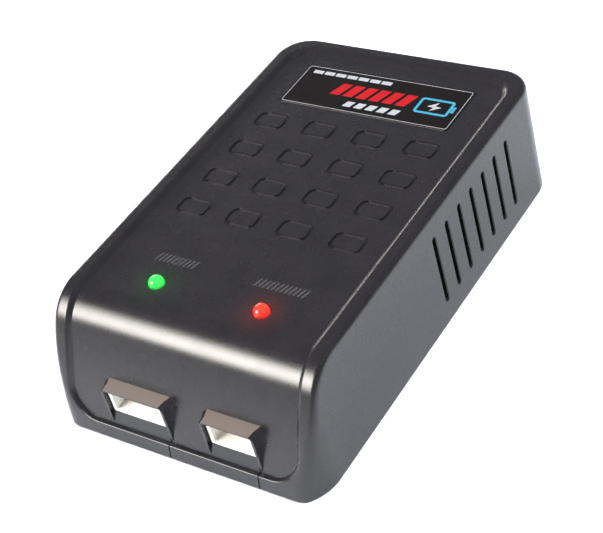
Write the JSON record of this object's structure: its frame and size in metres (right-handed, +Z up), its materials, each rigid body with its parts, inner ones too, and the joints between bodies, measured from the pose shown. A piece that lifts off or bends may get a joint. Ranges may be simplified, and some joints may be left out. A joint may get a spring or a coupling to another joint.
{
  "type": "balance battery charger",
  "caption": "Compact mains-powered balance charger for small lithium packs: black case with a curved front, hooded balance sockets, indicator lights, side vents and a mains inlet.",
  "frame": {"origin": "centre of the base, on the surface that the charger stands on", "axes": "+X to the right seen from the front, -Y is the front with the two balance sockets, +Y is the back with the mains inlet, +Z is up"},
  "size_m": [0.056, 0.0904, 0.0244],
  "materials": {
    "case_black": "satin moulded ABS with a very fine grain",
    "case_base": "satin moulded ABS, slightly cooler black",
    "label_black": "printed vinyl label, semi-gloss",
    "label_silver": "silver-grey polyester label",
    "board_green": "solder mask on glass-epoxy board",
    "fish_paper": "pressed insulating paper",
    "socket_nylon": "white nylon",
    "tinned_contacts": "tin-plated brass",
    "lens_green": "diffused green epoxy lens",
    "lens_red": "diffused red epoxy lens",
    "tinned_leads": "tinned steel wire",
    "component_black": "moulded epoxy and nylon",
    "inlet_black": "black nylon",
    "inlet_brass": "nickel-plated brass",
    "thermistor_green": "dark green epoxy coat",
    "ferrite": "ground ferrite",
    "copper_enamel": "enamelled copper wire",
    "film_yellow": "yellow film capacitor box",
    "disc_blue": "blue epoxy coat",
    "capacitor_sleeve": "dark shrink sleeve",
    "winding_tape": "yellow polyester tape",
    "heatsink_alu": "plain stamped aluminium",
    "screw_steel": "zinc-plated steel",
    "screw_black": "black zinc-plated steel",
    "resistor_blue": "blue lacquer"
  },
  "bodies": {
    "root": {"upper_shell": "case_black", "lower_shell": "case_base", "top_label": "label_black", "rating_label": "label_silver", "circuit_board": "board_green", "insulation_sheet": "fish_paper", "balance_socket_3s": "socket_nylon", "balance_pins_3s": "tinned_contacts", "balance_socket_2s": "socket_nylon", "balance_pins_2s": "tinned_contacts", "green_led": "lens_green", "red_led": "lens_red", "led_leads": "tinned_leads", "led_spacers": "component_black", "ac_inlet": "inlet_black", "inlet_pins": "inlet_brass", "fuse": "component_black", "thermistor": "thermistor_green", "choke_core": "ferrite", "choke_windings": "copper_enamel", "x_capacitor": "film_yellow", "y_capacitor": "disc_blue", "bridge_rectifier": "component_black", "input_capacitor": "capacitor_sleeve", "transformer_core": "ferrite", "transformer_bobbin": "component_black", "transformer_winding": "winding_tape", "switching_transistor": "component_black", "primary_heatsink": "heatsink_alu", "output_diode": "component_black", "output_heatsink": "heatsink_alu", "heatsink_screws": "screw_steel", "output_capacitors": "capacitor_sleeve", "optocoupler": "component_black", "supply_controller": "component_black", "charge_controller": "component_black", "comparator_chips": "component_black", "charge_transistors": "component_black", "balance_resistors": "resistor_blue", "board_screws": "screw_steel", "case_screws": "screw_black"}
  },
  "joints": []
}
